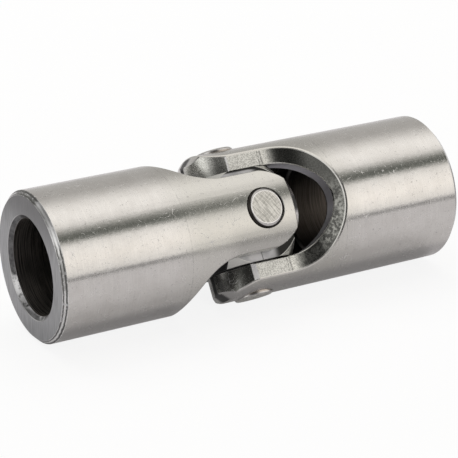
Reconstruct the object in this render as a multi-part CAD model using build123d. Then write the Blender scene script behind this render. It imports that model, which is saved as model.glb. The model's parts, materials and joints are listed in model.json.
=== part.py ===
from build123d import *
import math
import os

# Single universal joint of the pin and block kind, with plain bearings.
# Two equal yokes face each other, one turned a quarter turn about the axis.
# A centre block sits between their four ears.
# One long pin goes through the block and both ears of the left yoke.
# Two short pins meet the long pin inside the block and carry the right yoke.
# A thin rivet runs through the short pins and the long pin and holds them all.
# Millimetres. X is the joint axis, the origin is where the pin axes cross.

os.makedirs("parts", exist_ok=True)

# Whole joint
outer_dia = 25.0
overall_length = 74.7
bore_dia = 16.0
# Turn about X that lies the joint on its two hubs, as in the photo
roll_deg = -32.4

# Clearances
running_clearance = 0.05
side_play = 0.15
seat_gap = 0.01

# Hub: the bore is finished to its depth and rough-bored wider behind it
rim_chamfer = 0.75
bore_chamfer_depth = 0.8
bore_chamfer_width = 0.7
bore_depth = 22.0
rough_bore_dia = 16.8
rough_bore_depth = 31.0

# Pins
pin_dia = 6.5
pin_proud = 0.25
long_pin_chamfer = 0.5
short_pin_chamfer = 0.25
rivet_dia = 2.4
rivet_head_dia = 4.0
rivet_head_depth = 0.8

# Centre block
block_width = 15.4
block_length = 12.5
block_ball_dia = 22.5

# Ears, the slot between them and the milled relief behind them
slot_centre = 5.75
ear_width = 13.0
ear_end_radius = 6.65
ear_cone_start = 5.0
relief_start = 5.0
relief_radius = 10.0
edge_break = 0.15

# Derived sizes
outer_radius = outer_dia / 2
bore_radius = bore_dia / 2
rough_bore_radius = rough_bore_dia / 2
hub_end = overall_length / 2
pin_radius = pin_dia / 2
pin_half_length = outer_radius + pin_proud
ear_hole_radius = pin_radius + running_clearance
block_half = block_width / 2
ball_radius = block_ball_dia / 2
slot_half = block_half + side_play
half_ear = ear_width / 2
rivet_radius = rivet_dia / 2
rivet_hole_radius = rivet_radius + running_clearance
rivet_head_radius = rivet_head_dia / 2


def turned_blank():
    """Bar turned outside, bored from the hub end and chamfered there."""
    cone_drop = ear_end_radius - ear_cone_start
    bore_end = hub_end - bore_depth
    step = rough_bore_radius - bore_radius
    profile = Polyline(
        (-ear_end_radius, 0),
        (-ear_end_radius, outer_radius - cone_drop),
        (-ear_cone_start, outer_radius),
        (hub_end - rim_chamfer, outer_radius),
        (hub_end, outer_radius - rim_chamfer),
        (hub_end, bore_radius + bore_chamfer_width),
        (hub_end - bore_chamfer_depth, bore_radius),
        (bore_end, bore_radius),
        (bore_end - step, rough_bore_radius),
        (hub_end - rough_bore_depth, rough_bore_radius),
        (hub_end - rough_bore_depth, 0),
        close=True,
    )
    return revolve(make_face(profile), Axis.X, 360)


def relief_plan():
    """Outline seen along the ear's pin: round ear end, flats, curved run-out."""
    crease = -math.sqrt(ear_end_radius**2 - half_ear**2)
    bend = math.radians(45)
    bend_mid = bend / 2
    arc_mid_x = relief_start + relief_radius * math.sin(bend_mid)
    arc_mid_y = half_ear + relief_radius * (1 - math.cos(bend_mid))
    arc_end_x = relief_start + relief_radius * math.sin(bend)
    arc_end_y = half_ear + relief_radius * (1 - math.cos(bend))
    past_rim = outer_radius + 1
    ramp_end_x = arc_end_x + past_rim - arc_end_y
    past_hub = hub_end + 1

    edges = [ThreePointArc((crease, half_ear), (-ear_end_radius, 0), (crease, -half_ear))]
    edges += [Line((past_hub, past_rim), (past_hub, -past_rim))]
    for side in (1, -1):
        edges += [Line((crease, side * half_ear), (relief_start, side * half_ear))]
        arc_start = (relief_start, side * half_ear)
        arc_mid = (arc_mid_x, side * arc_mid_y)
        arc_end = (arc_end_x, side * arc_end_y)
        edges += [ThreePointArc(arc_start, arc_mid, arc_end)]
        edges += [Line(arc_end, (ramp_end_x, side * past_rim))]
        edges += [Line((ramp_end_x, side * past_rim), (past_hub, side * past_rim))]
    outline = make_face(edges)
    return extrude(outline, outer_radius + 1, both=True)


def fork_slot():
    """Round-bottomed slot milled between the ears, open on both sides."""
    length = slot_centre + ear_end_radius + 1
    middle = slot_centre - length / 2
    flat = Pos(middle, 0) * Rectangle(length, 2 * slot_half)
    bottom = Pos(slot_centre, 0) * Circle(slot_half)
    shape = Plane.XZ * (flat + bottom)
    return extrude(shape, outer_radius + 1, both=True)


def chamfered_bar(length, end_chamfer):
    """Bar of the pins' diameter from the origin up along Z, chamfered at its far end."""
    profile = Polyline(
        (0, 0),
        (pin_radius, 0),
        (pin_radius, length - end_chamfer),
        (pin_radius - end_chamfer, length),
        (0, length),
        close=True,
    )
    return revolve(Plane.XZ * make_face(profile), Axis.Z, 360)


def edges_on(part, *surfaces):
    """Edges of a part that lie on every one of the given surfaces."""
    found = []
    for edge in part.edges():
        points = [edge.position_at(t) for t in (0.03, 0.3, 0.5, 0.7, 0.97)]
        if all(surface(point) for surface in surfaces for point in points):
            found.append(edge)
    return found


def on_outside(point):
    """True on the turned outside, from the ear ends to the hub's rim."""
    cone_drop = max(0, -point.X - ear_cone_start)
    distance = math.hypot(point.Y, point.Z)
    return abs(distance - outer_radius + cone_drop) < 0.005


def on_milled_outline(point):
    """True on the milled outline, which is every outside place nearer the ears."""
    flank = abs(point.Y) > half_ear - 0.005 and point.X > -ear_end_radius
    ear_end = abs(math.hypot(point.X, point.Y) - ear_end_radius) < 0.005
    return flank or (point.X < 0 and ear_end)


def on_slot(point):
    """True on the flat sides and the round bottom of the fork's slot."""
    if point.X < slot_centre:
        return abs(abs(point.Z) - slot_half) < 0.005
    return abs(math.hypot(point.X - slot_centre, point.Z) - slot_half) < 0.005


def on_ear_hole(point):
    """True on the wall of the pin hole."""
    return abs(math.hypot(point.X, point.Y) - ear_hole_radius) < 0.005


def beside_ear_end(point):
    """True on the flanks and behind them, clear of the round ear end."""
    return point.X > 0.02 - math.sqrt(ear_end_radius**2 - half_ear**2)


def yoke():
    """Yoke with its hub towards +X and its pin hole along Z."""
    body = turned_blank() & relief_plan()
    outline = edges_on(body, on_outside, on_milled_outline)
    turned_rings = body.edges().filter_by(GeomType.CIRCLE)
    seams = body.edges().filter_by(Axis.X).filter_by(lambda e: e.center().X > relief_start)
    outline = [e for e in outline if e not in turned_rings and e not in seams]
    body = chamfer(outline, edge_break)

    body -= fork_slot()
    slot_rim = edges_on(body, on_slot, on_milled_outline, beside_ear_end)
    body = chamfer(slot_rim, edge_break)

    body -= Cylinder(ear_hole_radius, 2 * outer_radius + 2)
    hole_rim = edges_on(body, on_outside, on_ear_hole)
    return chamfer(hole_rim, edge_break)


def centre_block():
    """Turned ball with faced ends, milled to four flats, cross-bored for the pins."""
    end = block_length / 2
    end_radius = math.sqrt(ball_radius**2 - end**2)
    profile = [ThreePointArc((-end, end_radius), (0, ball_radius), (end, end_radius))]
    profile += [Polyline((end, end_radius), (end, 0), (-end, 0), (-end, end_radius))]
    ball = revolve(make_face(profile), Axis.X, 360)
    body = ball & Box(block_ball_dia, block_width, block_width)
    bore = Cylinder(pin_radius + seat_gap, block_ball_dia)
    return body - bore - Rot(90, 0, 0) * bore


def long_pin():
    """Plain pin along Y, cross-drilled for the rivet."""
    half = chamfered_bar(pin_half_length, long_pin_chamfer)
    bar = half + Rot(180, 0, 0) * half
    return Rot(90, 0, 0) * bar - Cylinder(rivet_hole_radius, pin_dia + 2)


def short_pin():
    """Hollow pin along Z, faced square at the long pin and chamfered past the ear."""
    inner_end = pin_radius + seat_gap
    bar = Pos(0, 0, inner_end) * chamfered_bar(pin_half_length - inner_end, short_pin_chamfer)
    bar -= Cylinder(rivet_hole_radius, 4 * pin_half_length)
    sink_top = rivet_head_radius + running_clearance
    sink = Cone(rivet_hole_radius, sink_top, rivet_head_depth)
    return bar - Pos(0, 0, pin_half_length - rivet_head_depth / 2) * sink


def lock_rivet():
    """Rivet along Z with a flush conical head formed at each end."""
    shank_end = pin_half_length - rivet_head_depth
    profile = Polyline(
        (0, -pin_half_length),
        (rivet_head_radius, -pin_half_length),
        (rivet_radius, -shank_end),
        (rivet_radius, shank_end),
        (rivet_head_radius, pin_half_length),
        (0, pin_half_length),
        close=True,
    )
    return revolve(Plane.XZ * make_face(profile), Axis.Z, 360)


lie_down = Rot(roll_deg, 0, 0)
quarter_turn = Rot(90, 0, 0)
turn_round = Rot(0, 0, 180)
upside_down = Rot(180, 0, 0)

nodes = {
    "left_yoke": lie_down * quarter_turn * turn_round * yoke(),
    "right_yoke": lie_down * yoke(),
    "centre_block": lie_down * centre_block(),
    "long_pin": lie_down * long_pin(),
    "short_pin_upper": lie_down * short_pin(),
    "short_pin_lower": lie_down * upside_down * short_pin(),
    "lock_rivet": lie_down * lock_rivet(),
}

for name, solid in nodes.items():
    export_step(solid, f"parts/{name}.step")
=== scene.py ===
# %% [markdown]
# # A universal joint in turned steel
# The object is a single universal joint that lies on its two hubs. The CAD model holds its
# form, so this lesson is about the finish: how a lathe, a mill and a brush leave their marks,
# and how a studio shows them on bare metal. Each step comes as a note and a short cell.

import json
import math
from types import SimpleNamespace

import bpy
import numpy as np
from mathutils import Matrix, Vector

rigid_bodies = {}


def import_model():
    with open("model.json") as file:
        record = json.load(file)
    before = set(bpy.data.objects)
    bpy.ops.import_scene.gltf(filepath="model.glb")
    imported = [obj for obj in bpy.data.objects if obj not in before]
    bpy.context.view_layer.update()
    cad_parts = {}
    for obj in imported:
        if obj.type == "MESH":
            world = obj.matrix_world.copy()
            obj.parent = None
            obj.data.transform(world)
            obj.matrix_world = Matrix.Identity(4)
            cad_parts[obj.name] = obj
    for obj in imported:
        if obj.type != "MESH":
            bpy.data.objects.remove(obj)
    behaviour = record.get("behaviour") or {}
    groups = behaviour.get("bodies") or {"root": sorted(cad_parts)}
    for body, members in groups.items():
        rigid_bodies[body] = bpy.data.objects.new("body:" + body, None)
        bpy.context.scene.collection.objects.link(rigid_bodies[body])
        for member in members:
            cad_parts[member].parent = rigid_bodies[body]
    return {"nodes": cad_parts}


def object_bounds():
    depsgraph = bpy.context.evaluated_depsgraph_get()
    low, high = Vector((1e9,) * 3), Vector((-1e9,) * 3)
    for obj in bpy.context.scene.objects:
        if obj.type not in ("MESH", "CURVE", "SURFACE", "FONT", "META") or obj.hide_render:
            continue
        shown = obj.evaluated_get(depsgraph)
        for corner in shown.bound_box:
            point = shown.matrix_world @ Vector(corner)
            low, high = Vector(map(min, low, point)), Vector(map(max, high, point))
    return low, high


for leftover in list(bpy.data.objects):
    bpy.data.objects.remove(leftover)
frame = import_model()
cad_box = [list(corner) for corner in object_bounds()]


def in_millimetres(box):
    """A box's two corners in millimetres, rounded for print."""
    return [[round(1000 * number, 2) for number in corner] for corner in box]


print("CAD box in mm:", in_millimetres(cad_box))

# %% [markdown]
# ## The camera
# The photograph was taken with a long lens from the front left, a little above the joint. A
# camera is a place and three directions, so its matrix can be written down column by column:
# what is right in the picture, what is up, and what points back to the photographer. The long
# lens matters as much as the place, because it keeps the far hub nearly as large as the near one.

# %% Camera
right = Vector((0.8656, -0.5007, 0.0)).normalized()
forward = Vector((0.46499, 0.80384, -0.37098)).normalized()
up = right.cross(forward)
right = forward.cross(up)
distance_back = 0.3322
shift_left = 0.000736
shift_down = 0.000719
place = -shift_left * right - shift_down * up - distance_back * forward
turn = Matrix((right, up, -forward)).transposed()

lens_data = bpy.data.cameras.new("camera")
lens_data.sensor_width = 36
lens_data.lens = 156.08
lens_data.clip_start = 0.01
lens_data.clip_end = 20
camera = bpy.data.objects.new("camera", lens_data)
camera.matrix_world = Matrix.Translation(place) @ turn.to_4x4()
bpy.context.scene.collection.objects.link(camera)
bpy.context.scene.camera = camera
bpy.context.scene.view_settings.view_transform = "Standard"
print("camera stands at", [round(number, 4) for number in place])

# %% [markdown]
# ## Writing a finish as sums
# A finish is a recipe of masks, noises and mixes. Written with one node call per plus and minus it
# would be unreadable, so an output socket is wrapped in a small class whose operators add the
# Math node that they stand for. Two steps come back everywhere and get a name: a mask that rises
# from 0 to 1, and one that is 1 near a value, which draws a line or a ring.


# %% A socket that can be used in sums
class Wire:
    """An output socket. An operator on it adds the Math node that does the same."""

    def __init__(self, board, socket):
        self.board = board
        self.socket = socket

    def maths(self, operation, *values):
        """One Math node on the given wires and numbers."""
        settings = {"operation": operation}
        return self.board.node("ShaderNodeMath", settings, dict(enumerate(values)))

    def __add__(self, other):
        return self.maths("ADD", self, other)

    def __sub__(self, other):
        return self.maths("SUBTRACT", self, other)

    def __rsub__(self, other):
        return self.maths("SUBTRACT", other, self)

    def __mul__(self, other):
        return self.maths("MULTIPLY", self, other)

    def __truediv__(self, other):
        return self.maths("DIVIDE", self, other)

    def __pow__(self, other):
        return self.maths("POWER", self, other)

    def __neg__(self):
        return self.maths("MULTIPLY", self, -1.0)

    def __abs__(self):
        return self.maths("ABSOLUTE", self)

    __radd__ = __add__
    __rmul__ = __mul__

    def rises(self, low, high):
        """0 below low, 1 above high and a smooth step between; high below low turns it round."""
        sockets = {"Value": self, "From Min": low, "From Max": high}
        settings = {"interpolation_type": "SMOOTHSTEP"}
        return self.board.node("ShaderNodeMapRange", settings, sockets)

    def near(self, middle, reach, core):
        """1 up to core away from the middle, 0 from reach on and a smooth step between."""
        return abs(self - middle).rises(reach, core)


# %% [markdown]
# Every other node comes from one method of the board. It sets the node's settings first, because
# they decide which sockets it has, and then fills the sockets. Colours go through Mix nodes. A
# worn surface is then painted as on a bench: a base, and coats over it, each with the mask that
# says where it shows. The coats could be nested calls, but as a list they read in their order.


# %% The board that a finish is wired on
class Board:
    """The node tree of one finish."""

    def __init__(self, tree):
        self.tree = tree
        tree.nodes.clear()

    def node(self, kind, settings=None, sockets=None, output=0):
        """Adds a node, sets its settings, then fills its sockets with values or wires."""
        made = self.tree.nodes.new(kind)
        for name, value in (settings or {}).items():
            if name == "stops":
                self.fill_ramp(made.color_ramp, value)
            else:
                setattr(made, name, value)
        for key, value in (sockets or {}).items():
            if isinstance(value, Wire):
                self.tree.links.new(value.socket, made.inputs[key])
            else:
                made.inputs[key].default_value = value
        return Wire(self, made.outputs[output] if made.outputs else None)

    def fill_ramp(self, ramp, stops):
        """Replaces a ramp's stops by the given pairs of place and colour."""
        while len(ramp.elements) > 1:
            ramp.elements.remove(ramp.elements[-1])
        for number, (where, colour) in enumerate(stops):
            stop = ramp.elements[0] if number == 0 else ramp.elements.new(where)
            stop.position = where
            stop.color = colour

    def blend(self, factor, first, second):
        """Mixes two colours."""
        settings = {"data_type": "RGBA"}
        return self.node("ShaderNodeMix", settings, {0: factor, 6: first, 7: second}, 2)

    def coats(self, base, *coats):
        """Lays coats over a base colour in turn; each is a mask and the colour that it brings."""
        for mask, colour in coats:
            base = self.blend(mask, base, colour)
        return base

    def axes(self, vector):
        """Splits a vector in its three numbers."""
        split = self.node("ShaderNodeSeparateXYZ", None, {0: vector})
        return [Wire(self, socket) for socket in split.socket.node.outputs]

    def vector(self, x, y, z):
        """Joins three numbers in a vector."""
        return self.node("ShaderNodeCombineXYZ", None, {0: x, 1: y, 2: z})

    def noise(self, vector, scale, detail=2.0, roughness=0.5):
        """Soft noise, mostly near a half; three scales draw it out along the small ones."""
        if isinstance(scale, tuple):
            stretched = {0: vector, 1: scale}
            vector = self.node("ShaderNodeVectorMath", {"operation": "MULTIPLY"}, stretched)
            scale = 1.0
        sockets = {"Vector": vector, "Scale": scale, "Detail": detail, "Roughness": roughness}
        return self.node("ShaderNodeTexNoise", {"noise_dimensions": "3D"}, sockets)

    def metal(self, colour, rough, height, strength):
        """Closes a finish as bare metal with a relief 0.02 mm high, scaled by strength."""
        sockets = {"Strength": strength, "Distance": 0.00002, "Height": height}
        relief = self.node("ShaderNodeBump", None, sockets)
        sockets = {"Base Color": colour, "Metallic": 1.0, "Roughness": rough, "Normal": relief}
        steel = self.node("ShaderNodeBsdfPrincipled", None, sockets)
        self.node("ShaderNodeOutputMaterial", None, {"Surface": steel})


# %% Greys, new materials and who wears them
def grey(level, warmth=0.0, yellow=0.0):
    """A linear grey; warmth sets red against blue, and yellow takes out blue alone."""
    return (level * (1 + warmth), level, level * (1 - warmth - yellow), 1)


def new_material(name):
    """A material and the empty board that its finish is wired on."""
    material = bpy.data.materials.new(name)
    material.use_nodes = True
    return material, Board(material.node_tree)


def finish_node(node, material):
    """Gives a CAD node one material in all its slots."""
    mesh = frame["nodes"][node].data
    if not mesh.materials:
        mesh.materials.append(material)
    for slot in range(len(mesh.materials)):
        mesh.materials[slot] = material
    print(node, "is finished with", material.name)


# %% [markdown]
# ## Knowing where on the yoke a point is
# Both yokes are one pattern part: a turned bar, milled to two ears, with a slot between them. A
# finish that knows the pattern part's own axes can tell a turned face from a milled one by
# simple tests, such as the distance from the axis. The other way would be to split the mesh in
# faces with a material each, but the CAD mesh stays as it is. So each material first turns Object
# coordinates back to those axes and scales them to millimetres. X runs out of the hub, the pin
# hole of the ears runs along Z, and the slot is open along Y.

# %% Axes of the two yokes and the cross
roll = math.radians(32.4)
yoke_axes = {
    "right_yoke": (roll, 0.0, 0.0),
    "left_yoke": (roll - math.pi / 2, 0.0, math.pi),
}
cross_axes = (roll, 0.0, 0.0)
as_it_lies = (0.0, 0.0, 0.0)


def own_axes(board, angles, output="Object"):
    """Object coordinates in millimetres, or plain normals, turned to a part's own axes."""
    source = board.node("ShaderNodeTexCoord", output=output)
    size = 1000.0 if output == "Object" else 1.0
    sockets = {"Vector": source, "Rotation": angles, "Scale": (size, size, size)}
    return board.node("ShaderNodeMapping", {"vector_type": "POINT"}, sockets)


def point_on(board, angles):
    """The shaded point in mm: in the pattern part's axes, and as the joint lies on the table."""
    here = SimpleNamespace()
    here.point = own_axes(board, angles)
    here.x, here.y, here.z = board.axes(here.point)
    here.distance = (here.y * here.y + here.z * here.z) ** 0.5
    here.on_table = own_axes(board, as_it_lies)
    here.away, here.height = board.axes(here.on_table)[1:]
    here.normal_y, here.normal_z = board.axes(own_axes(board, angles, "Normal"))[1:]
    return here


# %% [markdown]
# The hub's surfaces differ in how far they are from the axis and from the end. The outside has the
# largest radius, the bore the smallest, and the two chamfers lie between the end face and them.
# Each test is a soft step a few hundredths of a millimetre wide, so no border looks cut out.

# %% Masks on the hub
hub_end = 1000 * cad_box[1][0]
outer_radius = 12.5
rim_start = hub_end - 0.75
rim_inner_radius = outer_radius - 0.78
wall_middle_radius = 10.1
rough_bore_radius = 8.4
seat_end = hub_end - 22.0


def mark_hub(here):
    """Adds masks for the end face, the rim's chamfer, the mouth, the outside and the bore."""
    here.past_rim = here.x.rises(rim_start - 0.05, rim_start - 0.01)
    here.end_face = here.x.rises(hub_end - 0.05, hub_end - 0.02)
    before_rim = 1 - here.past_rim
    chamfers = here.past_rim * (1 - here.end_face)
    here.rim = chamfers * here.distance.rises(wall_middle_radius - 0.1, wall_middle_radius + 0.1)
    here.mouth = chamfers * here.distance.rises(wall_middle_radius + 0.1, wall_middle_radius - 0.1)
    here.outside = here.distance.rises(outer_radius - 0.30, outer_radius - 0.15) * before_rim
    here.towards_ears = here.outside * here.x.rises(18.5, 11.5)
    narrow = here.distance.rises(rough_bore_radius + 0.35, rough_bore_radius + 0.15)
    here.in_bore = narrow * here.x.rises(12.0, 13.0) * before_rim
    here.behind_seat = here.in_bore * here.x.rises(seat_end + 0.1, seat_end - 0.1)


print("the hub ends at", round(hub_end, 2), "mm and its finished seat at", round(seat_end, 2), "mm")

# %% [markdown]
# The mill that shaped the ears stood in line with the pin hole, so no milled face looks that way:
# its normal has no z part. The slot was milled from the side, along Y, so the normals of its walls
# have no y part. Along X the milled outline is a round ear end, two flats and a curved run-out.
# The painted dark on the lower ear's end starts a little further out, so its border is shifted.

# %% Masks on the ears
crease = -1.4
ear_end_start = -1.65
lower_ear_end_shift = 0.60
flats_end = 5.0
first_cutter_line = 4.4
last_cutter_line = 4.9
slot_end = 13.95
fork_line_place = 14.6
cone_start = -5.0


def mark_ears(here, darkened_lower_end):
    """Adds masks for the milled faces, the slot's walls and the broken edges of the ears."""
    neither = (1 - here.outside) * (1 - here.past_rim)
    here.milled = abs(here.normal_z).rises(0.12, 0.05) * neither
    here.slot_wall = abs(here.normal_y).rises(0.12, 0.05) * neither
    here.slot_wall = here.slot_wall * here.x.rises(slot_end + 0.05, slot_end - 0.05)
    here.between_ears = here.slot_wall * here.x.rises(7.5, 5.5)
    here.lower_ear = here.z.rises(1.0, -1.0) * darkened_lower_end
    here.from_stain = here.x - ear_end_start + here.lower_ear * lower_ear_end_shift
    here.ear_end = here.milled * here.from_stain.rises(0.10, -0.10)
    bare = here.milled * (1 - here.ear_end)
    here.crease_strip = bare * here.x.rises(crease + 0.10, crease - 0.10)
    here.flats = bare * here.x.rises(flats_end + 0.3, flats_end - 0.3)
    here.run_out = here.milled * here.x.rises(flats_end + 0.3, flats_end + 2.8)
    edge = here.distance.rises(9.2, 9.4) * (1 - here.milled) * (1 - here.slot_wall) * neither
    here.broken_edge = edge * here.x.rises(cone_start - 0.1, cone_start + 0.1)


print("the flats run from", crease, "to", flats_end, "mm and the slot ends at", slot_end, "mm")

# %% [markdown]
# ## Marks of the tools and of use
# All of the marks are noises, and their scale in cycles per millimetre makes them what they are.
# Noise that changes fast along X and slowly round it becomes rings of the lathe. The place where a
# soft noise passes through a middle value is a thin winding line, which serves as a scratch.
# A picture of real scratches would do too, but it would repeat and need unwrapping.


# %% Rings, grain, specks and scratches
def marks_on(board, here):
    """The noises that several finishes of one yoke share, and the marks made from them."""
    marks = SimpleNamespace()
    marks.rings = board.noise(here.point, (9.0, 0.12, 0.12), 3.0, 0.6)
    marks.wide_rings = board.noise(here.point, (1.6, 0.05, 0.05))
    marks.brush = board.noise(here.on_table, (0.0, 5.0, 0.25), 3.0, 0.6)
    marks.cloud = board.noise(here.point, 0.35, 3.0, 0.6)
    marks.patches = board.noise(here.point, 0.9, 3.0, 0.6)
    marks.dents = board.noise(here.point, 1.3, 3.0, 0.6)
    marks.flecks = board.noise(here.point, 2.4, 3.0, 0.65)
    marks.grain = board.noise(here.point, 4.5, 2.0, 0.6)
    marks.specks = board.noise(here.point, 2.6).rises(0.66, 0.73)

    hair = board.noise(here.point, 0.55, 1.0, 0.4).near(0.5, 0.010, 0.003)
    hair = hair * marks.dents.rises(0.46, 0.58)
    crossing = board.noise(here.point, (0.9, 0.35, 0.35), 1.0, 0.4).near(0.47, 0.012, 0.004)
    crossing = crossing * marks.flecks.rises(0.46, 0.56)
    crossing = crossing * board.noise(here.point, 0.22).rises(0.45, 0.60)
    marks.scratches = (hair + crossing).rises(0.0, 1.0) * here.outside
    return marks


# %% [markdown]
# ## The turned outside
# The hubs are bright turned steel with soft clouds in it. They are a little yellower towards the
# ears, where the joint's oil gets, and greyer low down and below the front ear, which is painted
# shade. On top lie the fine rings, dark specks, pale scratches and a faint line beside the fork.
# What the eye follows there is the mirrored room, so most coats are weak and close in colour to
# the one below them.


# %% Colour of the turned outside
def turned_tone(board, here, marks, darkened_lower_end):
    """Bright clouds of steel under rings, specks and scratches."""
    cloudy = marks.cloud.rises(0.35, 0.70)
    # Painted shade: greyer below the front ear and in a band low down on the hub.
    shade_under_ear = here.x.rises(9.0, 5.0) * here.height.rises(5.5, 2.5) * (1 - darkened_lower_end)
    shade_low_on_hub = here.height.rises(-5.5, -7.8) * here.height.rises(-10.8, -9.8)
    fork_line = here.x.near(fork_line_place, 0.14, 0.04) * marks.dents.rises(0.40, 0.60)
    return board.coats(
        board.blend(cloudy, grey(0.76, 0.02, 0.02), grey(0.70, 0.025, 0.02)),
        (here.towards_ears, grey(0.66, 0.015, 0.05)),
        (shade_under_ear * 0.80, grey(0.48, 0.015, 0.05)),
        (shade_low_on_hub * 0.85, grey(0.50, 0.02)),
        (marks.rings.rises(0.62, 0.40) * 0.22, grey(0.55, 0.02)),
        (marks.specks * 0.60, grey(0.36, 0.03)),
        (marks.scratches * 0.35, grey(0.98)),
        (fork_line * 0.35, grey(0.30)),
    )


# %% [markdown]
# ## The milled faces
# Milling leaves a matt, speckled face. On the flats the speckle is crisp, and two dark lines show
# where the cutter stopped. The run-outs behind them get painted shade, almost black in patches and
# darkest towards both ends of their curve. Two noises mixed give the shade both large and small
# edges.


# %% Colour of flats and run-outs
def milled_tone(board, here, marks):
    """Speckled steel, with the cutter's lines on the flats and painted shade in the run-outs."""
    fine = board.blend(marks.grain.rises(0.34, 0.66), grey(0.50, 0.0, 0.07), grey(0.86, 0.0, 0.06))
    crisp = board.blend(marks.grain.rises(0.38, 0.60), grey(0.50, 0.0, 0.06), grey(0.84, 0.0, 0.05))
    cutter_lines = here.x.near(last_cutter_line, 0.18, 0.08)
    cutter_lines = cutter_lines + here.x.near(first_cutter_line, 0.14, 0.06)
    mottle = (marks.patches * 0.5 + marks.flecks * 0.5).rises(0.42, 0.60)
    # Painted shade in the run-outs: lighter in patches near the middle of the curve, nearly black
    # elsewhere.
    less_shade = here.z.near(-4.4, 9.5, 0.5) * mottle
    return board.coats(
        fine,
        (here.flats, crisp),
        (cutter_lines * marks.flecks.rises(0.38, 0.55) * 0.75, grey(0.12, 0.0, 0.06)),
        (here.run_out * 0.88, board.blend(less_shade, grey(0.035, 0.0, 0.10), grey(0.42, 0.0, 0.08))),
    )


# %% [markdown]
# The lower ear's round end is painted dark, a painted reflection of the other yoke's dark underside,
# with a few pale curls as painted glints. Between it and the flat a strip gets a painted highlight
# along the crease, and the upper ear's end gets painted shade near the slot. These are coats, so
# they follow the ear's form exactly. They are placed on the ear, so they move with the joint.


# %% Colour of the round ear ends
def ear_end_tone(board, here, marks, mill):
    """The milled colour with a painted dark reflection, painted glints, painted shade and a painted
    crease highlight over it.
    """
    # Painted reflection: the lower ear's end is dark, with pale curls as painted glints.
    dark_reflection = here.ear_end * here.lower_ear * (1 - 0.6 * here.x.rises(-5.4, -6.1))
    glints = board.noise(here.point, 0.7, 1.0, 0.4).near(0.5, 0.03, 0.008)
    glints = glints * here.x.rises(-4.0, -5.5)
    # Painted shade on the upper ear's end near the slot.
    edge_shade = here.ear_end * here.z.rises(10.0, 8.2) * here.z.rises(0.0, 1.0)
    # Painted highlight along the crease and the edge of the ear's end.
    crease_highlight = here.from_stain.near(0.10, 0.20, 0.06) * marks.flecks.rises(0.30, 0.42)
    crease_highlight = (crease_highlight * 0.8 + here.crease_strip).rises(0.0, 1.0)
    painted_dark = board.blend(marks.grain.rises(0.55, 0.75), grey(0.16, 0.0, 0.08), grey(0.50, 0.0, 0.05))
    return board.coats(
        mill,
        (dark_reflection, painted_dark),
        (dark_reflection * glints * 0.6, grey(0.85)),
        (edge_shade * 0.6, grey(0.24, 0.0, 0.08)),
        (crease_highlight, grey(1.0)),
    )


# %% [markdown]
# ## The slot, the bore and the end of the hub
# Little light gets into the slot and the bore. Light that bounces around in them is costly to
# render and hard to steer, so part of their gloom is painted: the slot's wall is bluish and
# darkens downwards, and the bore is brown and dark at its sides, where it turns from the light.


# %% Colour of the slot and of the bore
def slot_tone(board, here):
    """Bluish wall of the slot, lighter above and dark below."""
    upper = board.blend(here.z.rises(0.0, 3.0), grey(0.44, 0.01, -0.06), grey(0.66, 0.01, -0.06))
    low_down = here.z.rises(-1.5, -4.5)
    return board.coats(upper, (low_down, grey(0.17, 0.01, -0.02)))


def bore_tone(board, here, marks):
    """Brownish rings of the boring tool, with painted light near the mouth and painted shade at the
    sides and past the seat.
    """
    ringed = marks.rings.rises(0.35, 0.65)
    # Painted light near the mouth and painted shade at the sides of the bore.
    light_near_mouth = here.x.rises(hub_end - 12, hub_end - 1)
    shade_at_the_sides = abs(here.z - 1.0).rises(3.0, 7.0)
    return board.coats(
        board.blend(ringed, grey(0.11, 0.14), grey(0.24, 0.12)),
        (shade_at_the_sides, grey(0.045, 0.02)),
        (light_near_mouth * marks.rings.rises(0.3, 0.7), grey(0.50, 0.06)),
        (here.behind_seat, board.blend(ringed, grey(0.02, 0.05), grey(0.07, 0.05))),
    )


# %% [markdown]
# The end face is brushed up and down. Its outer chamfer carries rings of light and dark, painted
# reflections of its slightly rounded edges, broken up where it has been knocked, paler at the front
# and darker along the top. A ramp by distance from the axis draws the rings, and a noise added to
# its input breaks them up.

# %% Colour of the end face, the rim and the mouth
# Levels of the rings of painted reflection, from the rim's inner edge to its outer one.
reflection_ring_levels = [
    (0.00, 0.62),
    (0.10, 0.95),
    (0.20, 0.08),
    (0.33, 0.10),
    (0.45, 0.85),
    (0.62, 0.80),
    (0.72, 0.12),
    (0.88, 0.10),
    (1.00, 0.90),
]


def end_face_tone(board, here, marks):
    """Brushed face, darker towards its top, where it mirrors less light."""
    brushed = marks.brush.rises(0.3, 0.7)
    brushed = board.blend(brushed, grey(0.33, -0.02, 0.01), grey(0.50, -0.02, 0.01))
    towards_top = here.height.rises(3.0, 11.0)
    return board.coats(brushed, (towards_top * 0.75, grey(0.14)))


def reflection_rings(board, here, marks):
    """Painted reflections of the rounded edges: rings of light and dark across the rim, with plain
    grey patches between them.
    """
    across = (here.distance - rim_inner_radius) / (outer_radius - rim_inner_radius)
    stops = {"stops": [(where, grey(level, 0.0, 0.02)) for where, level in reflection_ring_levels]}
    rings = board.node("ShaderNodeValToRGB", stops, {"Fac": across + (marks.patches - 0.5) * 0.35})
    shown = marks.patches.rises(0.32, 0.46) * 0.85
    shown = shown + 0.15 * here.distance.rises(rim_inner_radius, outer_radius)
    return board.blend(shown, grey(0.62), rings)


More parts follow.
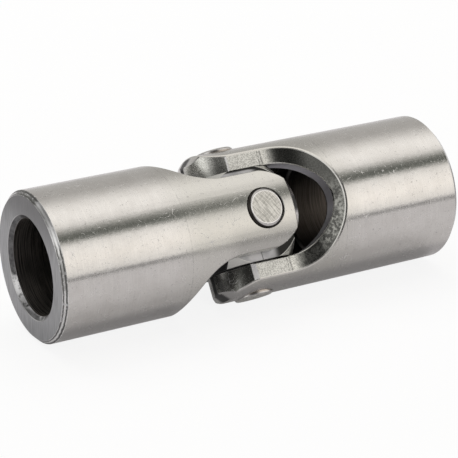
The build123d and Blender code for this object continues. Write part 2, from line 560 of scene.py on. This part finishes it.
def rim_tone(board, here, marks):
    """Painted reflection rings, paler at the upper front, with a dark fringe on top and one in
    front.
    """
    front = here.away.rises(-2.0, -3.5)
    pale = front * here.height.rises(6.5, 8.0)
    top_fringe = here.away.rises(-3.2, -1.8) * here.height.rises(10.6, 11.6)
    front_fringe = front * here.height.rises(6.8, 5.5) * here.height.rises(-0.5, 1.0)
    fringe = (top_fringe + front_fringe * 0.6) * marks.flecks.rises(0.36, 0.50)
    return board.coats(
        reflection_rings(board, here, marks),
        (pale * 0.5, grey(1.0)),
        (fringe * 0.85, grey(0.13, 0.0, 0.08)),
    )


def mouth_tone(board, here, marks):
    """Dark worn chamfer of the bore, lit low down, with a bare outer edge."""
    lit = here.height.rises(-2.8, -5.0) * here.height.rises(-8.2, -7.7)
    outer_edge = here.distance.rises(8.54, 8.62)
    return board.coats(
        board.blend(marks.patches.rises(0.3, 0.7), grey(0.09), grey(0.20)),
        (lit * marks.patches.rises(0.35, 0.55), grey(0.70)),
        (outer_edge, grey(0.60)),
    )


# %% [markdown]
# ## Putting the yoke's finish together
# All surfaces are one bare steel, so the colours stay close, and roughness and relief make the
# difference. One material with masks keeps the borders where the tools left them and moves with
# the yoke. Roughness is a sum: satin turned steel, and more for each surface that is duller.


# %% Roughness and relief
def yoke_roughness(here, marks):
    """Satin steel, plus what each duller surface adds."""
    rough = 0.10 + 0.06 * marks.rings + 0.04 * marks.cloud
    rough = rough + here.milled * (0.04 + 0.14 * marks.grain)
    duller = [
        (here.towards_ears, 0.07),
        (here.flats, 0.12),
        (here.in_bore, 0.25),
        (here.past_rim, 0.18),
        (here.slot_wall, 0.30),
        (here.broken_edge, 0.20),
        (here.crease_strip, 0.40),
        (marks.scratches, 0.30),
        (here.outside * marks.flecks.rises(0.50, 0.72), 0.05),
    ]
    for mask, amount in duller:
        rough = rough + mask * amount
    return rough


def yoke_relief(here, marks):
    """Rings where it was turned or bored, grain where it was milled, and dents outside."""
    height = marks.rings * (1 - here.milled) * 0.5 + marks.wide_rings * here.in_bore * 0.6
    height = height + marks.grain * here.milled * 1.6
    height = height + (marks.dents * 1.4 + marks.flecks * 0.5) * here.outside
    return height + marks.brush * here.end_face * 0.8


# %% The yokes' steel
def yoke_steel(name, angles, darkened_lower_end):
    """Steel of one yoke; the last argument is 1 on the yoke whose lower ear end is painted dark, a
    painted reflection, and 0 on the other.
    """
    material, board = new_material(name)
    here = point_on(board, angles)
    mark_hub(here)
    mark_ears(here, darkened_lower_end)
    marks = marks_on(board, here)
    colour = board.coats(
        turned_tone(board, here, marks, darkened_lower_end),
        (here.milled, ear_end_tone(board, here, marks, milled_tone(board, here, marks))),
        (here.slot_wall, slot_tone(board, here)),
        # Painted shade deep in the slot, between the ears.
        (here.between_ears, grey(0.09, 0.0, 0.03)),
        (here.in_bore, bore_tone(board, here, marks)),
        # Painted highlight: the broken edges get the palest steel.
        (here.broken_edge, grey(1.0, 0.0, 0.05)),
        (here.end_face, end_face_tone(board, here, marks)),
        (here.rim, rim_tone(board, here, marks)),
        (here.mouth, mouth_tone(board, here, marks)),
    )
    board.metal(colour, yoke_roughness(here, marks), yoke_relief(here, marks), 0.35)
    return material


for node, angles in yoke_axes.items():
    # Only the right yoke's lower ear end is painted dark, a painted reflection.
    darkened_lower_end = 1.0 if node == "right_yoke" else 0.0
    finish_node(node, yoke_steel(node + "_steel", angles, darkened_lower_end))

# %% [markdown]
# ## The pins and the rivet
# The pins were ground, and their ends brushed in one direction, with a second, weaker stroke
# across it. Noise drawn out along each stroke gives that straight grain. A bright ring, a painted
# highlight, shows where the face ends. Round the long pin lies an oily gap, a little wider above
# and below than at its sides. It is painted on the pin's chamfer, because the real gap is too
# narrow to look black. Round the short pins no gap shows, so only what stays in the hole is a
# darker grey, painted shade.

# %% Pin steel
pin_end = 12.6
stroke_cosine = 0.86
stroke_sine = 0.50


def brush_strokes(board, x, side):
    """Straight marks of two brush strokes that cross, drawn as noise stretched along each."""
    across = x * stroke_cosine + side * stroke_sine
    along = side * stroke_cosine - x * stroke_sine
    strong = board.noise(board.vector(across * 3.6, along * 0.35, 0.0), 1.0, 3.0, 0.65)
    weak = board.noise(board.vector(across * 0.6, along * 3.2, 3.0), 1.0, 3.0, 0.65)
    return strong * 0.7 + weak * 0.3


def pin_steel(name, pin_axis):
    """Ground pin with brushed ends; pin_axis is 1 for the pin along Y and 2 for those along Z."""
    material, board = new_material(name)
    point = own_axes(board, cross_axes)
    parts = board.axes(point)
    x = parts[0]
    side = parts[3 - pin_axis]
    along = abs(parts[pin_axis])
    end = along.rises(pin_end, pin_end + 0.12)
    radius = (x * x + side * side) ** 0.5
    if pin_axis == 1:
        face_radius = 2.70
        oval = ((x * 1.07) ** 2 + (side * 0.97) ** 2) ** 0.5
        in_its_hole = oval.rises(2.98, 3.04)
        hole_tone = grey(0.035, 0.10)
    else:
        face_radius = 2.92
        # Painted shade: the short pin's side that stays in its hole is a darker grey.
        in_its_hole = along.rises(12.35, 12.30)
        hole_tone = grey(0.45, 0.10)
    marks = brush_strokes(board, x, side)
    brushed = marks.rises(0.40, 0.60)
    # Painted highlight: a bright ring where the pin's face ends.
    face_edge_highlight = radius.near(face_radius, 0.10, 0.04) * end
    colour = board.coats(
        grey(0.62, 0.02),
        (end, board.blend(brushed, grey(0.42, 0.015, 0.06), grey(0.80, 0.015, 0.05))),
        (face_edge_highlight, grey(0.98, 0.01)),
        (in_its_hole, hole_tone),
    )
    rough = 0.22 + 0.16 * marks * end + 0.06 * board.noise(point, 0.5)
    board.metal(colour, rough, marks * end, 0.4)
    return material


short_pin_finish = pin_steel("short_pin_steel", 2)
finish_node("long_pin", pin_steel("long_pin_steel", 1))
for node in ("short_pin_upper", "short_pin_lower", "lock_rivet"):
    finish_node(node, short_pin_finish)

# %% [markdown]
# ## The centre block
# Only slivers of the block show between the ears. Its flats are ground, cool grey and cloudy, with
# painted shade, nearly black, towards the right ears and along one edge, where the ears shade them,
# and a thin dark seam. Where the ball was turned it is bare and lighter. The ball is told from the
# flats by its distance from the middle, because it is the only surface that far out.


# %% Block steel
def block_steel(name):
    """Ground flats with clouds, painted shade and a dark seam, and the lighter turned ball."""
    material, board = new_material(name)
    point = own_axes(board, cross_axes)
    x, y, z = board.axes(point)
    on_ball = ((x * x + y * y + z * z) ** 0.5).rises(11.18, 11.22)
    seam = x.near(-0.5, 0.12, 0.04) * z.rises(0.0, -1.0)
    # Painted shade towards the right ears and along one edge, and a thin dark seam.
    painted_dark = (x.rises(1.0, 3.2) + z.rises(7.2, 7.6) + seam * 0.7).rises(0.0, 1.0)
    cloudy = board.noise(point, 0.4).rises(0.35, 0.65)
    grain = board.noise(point, (5.0, 5.0, 0.6), 3.0, 0.6)
    colour = board.coats(
        board.blend(cloudy, grey(0.36, -0.01, -0.02), grey(0.48, 0.0, -0.02)),
        (painted_dark * (1 - on_ball), grey(0.03, 0.0, 0.05)),
        (on_ball, grey(0.62, 0.0, 0.05)),
    )
    board.metal(colour, 0.26 + 0.12 * grain, grain, 0.3)
    return material


finish_node("centre_block", block_steel("centre_block_steel"))

# %% [markdown]
# ## The studio
# Bare metal has hardly any colour of its own: what the eye reads as steel is the room in it. In the
# photograph the hubs show a bright band from above, one narrow dark band where a gap between
# two soft lights is mirrored, a broad bright front, and the grey table below. Lamps and cards
# could be set up for that, but a painted world is easier to match. It is a function of one
# angle, taken round the joint's axis: 0 is overhead, 90 is level towards the camera and 180 is
# straight down. The dark gap isn't quite parallel to the joint, so the angle leans a little
# with the direction along it. The camera itself sees plain white.

# %% The room round the joint
world = bpy.data.worlds.new("studio")
bpy.context.scene.world = world
world.use_nodes = True
room = Board(world.node_tree)
dx, dy, dz = room.axes(room.node("ShaderNodeTexCoord", output="Generated"))


def degrees(opposite, adjacent):
    """The angle, from -180 to 180 degrees, of a right triangle with the two given sides."""
    return opposite.maths("ARCTAN2", opposite, adjacent) * (180 / math.pi)


def painted(bands, angle):
    """The colour at an angle in degrees, on a ramp through pairs of degrees and colour."""
    stops = [(0.5 + where / 360, colour) for where, colour in bands]
    return room.node("ShaderNodeValToRGB", {"stops": stops}, {"Fac": angle / 360 + 0.5})


room_bands = [
    (-180, grey(0.60)),
    (-109, grey(1.10)),
    (-98, grey(0.90)),
    (-86, grey(0.52, 0.02)),
    (-60, grey(0.47, 0.03)),
    (-45, grey(0.48, 0.03)),
    (-33, grey(0.62, 0.03)),
    (-20, grey(0.90, 0.03)),
    (-8, grey(1.06, 0.03)),
    (6, grey(1.06, 0.03)),
    (16, grey(0.88, 0.03)),
    (25, (0.325, 0.325, 0.305, 1)),
    (32, (0.100, 0.106, 0.094, 1)),
    (38, (0.150, 0.158, 0.142, 1)),
    (45, grey(0.92, 0.03)),
    (56, grey(1.06, 0.04)),
    (70, grey(1.12, 0.05)),
    (84, grey(0.97, 0.04)),
    (91, grey(0.86, 0.03)),
    (96, grey(0.72, 0.01)),
    (110, grey(0.74, 0.01)),
    (180, grey(0.74)),
]
angle = degrees(-dy, dz)
pivot = 0.413
lean = 20.5
leaning = (dx - pivot) * lean * angle.rises(-20.0, 5.0) * angle.rises(75.0, 55.0)
round_the_axis = painted(room_bands, angle + leaning)
print("the room round the joint has", len(room_bands), "bands")

# %% [markdown]
# The round ear ends and the run-outs mirror another part of the room: what stands to the left of the
# joint. Going round from the front to the left and on to the back they show a gap, a light, a
# second gap and a pale wall. So that quarter of the room is painted by its compass angle instead.

# %% The room to the left
side_bands = [
    (-30, grey(0.95, 0.03)),
    (-12, grey(0.62, 0.02)),
    (-2, grey(0.20, 0.01)),
    (8, grey(0.10, 0.01)),
    (38, grey(0.08, 0.01)),
    (52, grey(0.22, 0.01)),
    (66, grey(0.95, 0.01)),
    (80, grey(1.25, 0.01)),
    (90, grey(0.70, 0.01)),
    (99, grey(0.20, 0.01)),
    (112, grey(0.12, 0.01)),
    (124, grey(0.16, 0.01)),
    (140, grey(0.55, 0.01)),
    (180, grey(0.80, 0.01)),
]
compass = degrees(-dx, -dy)
on_the_left = painted(side_bands, compass)
share_left = compass.rises(-26, -14) * compass.rises(176, 160) * dz.rises(0.92, 0.75)
mirrored = room.blend(share_left, round_the_axis, on_the_left)

to_camera = room.node("ShaderNodeLightPath", output="Is Camera Ray")
seen = room.blend(to_camera, mirrored, grey(1.0))
light = room.node("ShaderNodeBackground", None, {"Color": seen, "Strength": 1.0})
room.node("ShaderNodeOutputWorld", None, {"Surface": light})
print("the room to the left has", len(side_bands), "bands")

# %% [markdown]
# ## The floor
# The joint lies on white paper, which runs on to the horizon. A real sheet would be curved up behind
# the object, but a flat one is enough where the camera looks down on it. The camera sees it
# plain white with a soft shadow. In the steel it is a mauve grey with one dark stripe in front of
# the joint, like a gap before the table's edge, which the hubs mirror as a thin dark line. The
# stripe is painted, so nothing stands in the room that would show from another side.


# %% A flat sheet
def ground(half, height, cells):
    """A flat square of side 2 * half at one height, as a grid of cells by cells quads."""
    line = np.linspace(-half, half, cells + 1)
    gx, gy = np.meshgrid(line, line, indexing="ij")
    corners = np.stack([gx, gy, np.full_like(gx, height)], axis=-1).reshape(-1, 3)
    number = np.arange((cells + 1) ** 2).reshape(cells + 1, cells + 1)
    quads = np.stack([number[:-1, :-1], number[1:, :-1], number[1:, 1:], number[:-1, 1:]], axis=-1)
    mesh = bpy.data.meshes.new("floor")
    mesh.from_pydata(corners.tolist(), [], quads.reshape(-1, 4).tolist())
    return mesh


floor = bpy.data.objects.new("floor", ground(1.5, cad_box[0][2], 4))
bpy.context.scene.collection.objects.link(floor)
print("the floor lies at", round(1000 * cad_box[0][2], 2), "mm")

# %% Paper
paper, board = new_material("floor_paper")
to_camera = board.node("ShaderNodeLightPath", output="Is Camera Ray")
towards_back = board.axes(board.node("ShaderNodeTexCoord", output="Object"))[1]
dark_stripe = towards_back.rises(-0.32, -0.26) * towards_back.rises(-0.12, -0.135)
mirrored = board.blend(dark_stripe, (0.76, 0.74, 0.765, 1), grey(0.10))
tone = board.blend(to_camera, mirrored, grey(1.0))
matt = board.node("ShaderNodeBsdfDiffuse", None, {"Color": tone})
# The camera sees the paper mostly as a white glow. For the steel a quarter of it glows pale grey:
# painted light that lifts the shadow mirrored under the joint.
light = board.blend(to_camera, grey(0.60), grey(1.0))
glow = board.node("ShaderNodeEmission", None, {"Color": light, "Strength": 1.0})
share = to_camera * 0.62 + 0.25
mixed = board.node("ShaderNodeMixShader", None, {0: share, 1: matt, 2: glow})
board.node("ShaderNodeOutputMaterial", None, {"Surface": mixed})
floor.data.materials.append(paper)
print("the floor is finished with", paper.name)

# %% [markdown]
# ## A soft lamp
# The world alone would leave hardly any shadow. One large lamp above and behind gives the floor its
# soft shadow. It is left out of the steel, where it would show as a hard white square.

# %% Lamp
lamp_data = bpy.data.lights.new("soft_box", "AREA")
lamp_data.shape = "RECTANGLE"
lamp_data.size = 0.7
lamp_data.size_y = 0.5
lamp_data.energy = 2.0
lamp = bpy.data.objects.new("soft_box", lamp_data)
lamp_place = Matrix.Translation((0.0, 0.35, 0.7))
lamp_turn = Matrix.Rotation(math.radians(-27), 4, "X")
lamp.matrix_world = lamp_place @ lamp_turn
lamp.visible_glossy = False
bpy.context.scene.collection.objects.link(lamp)
print("the lamp hangs at", [round(number, 2) for number in lamp_place.translation])
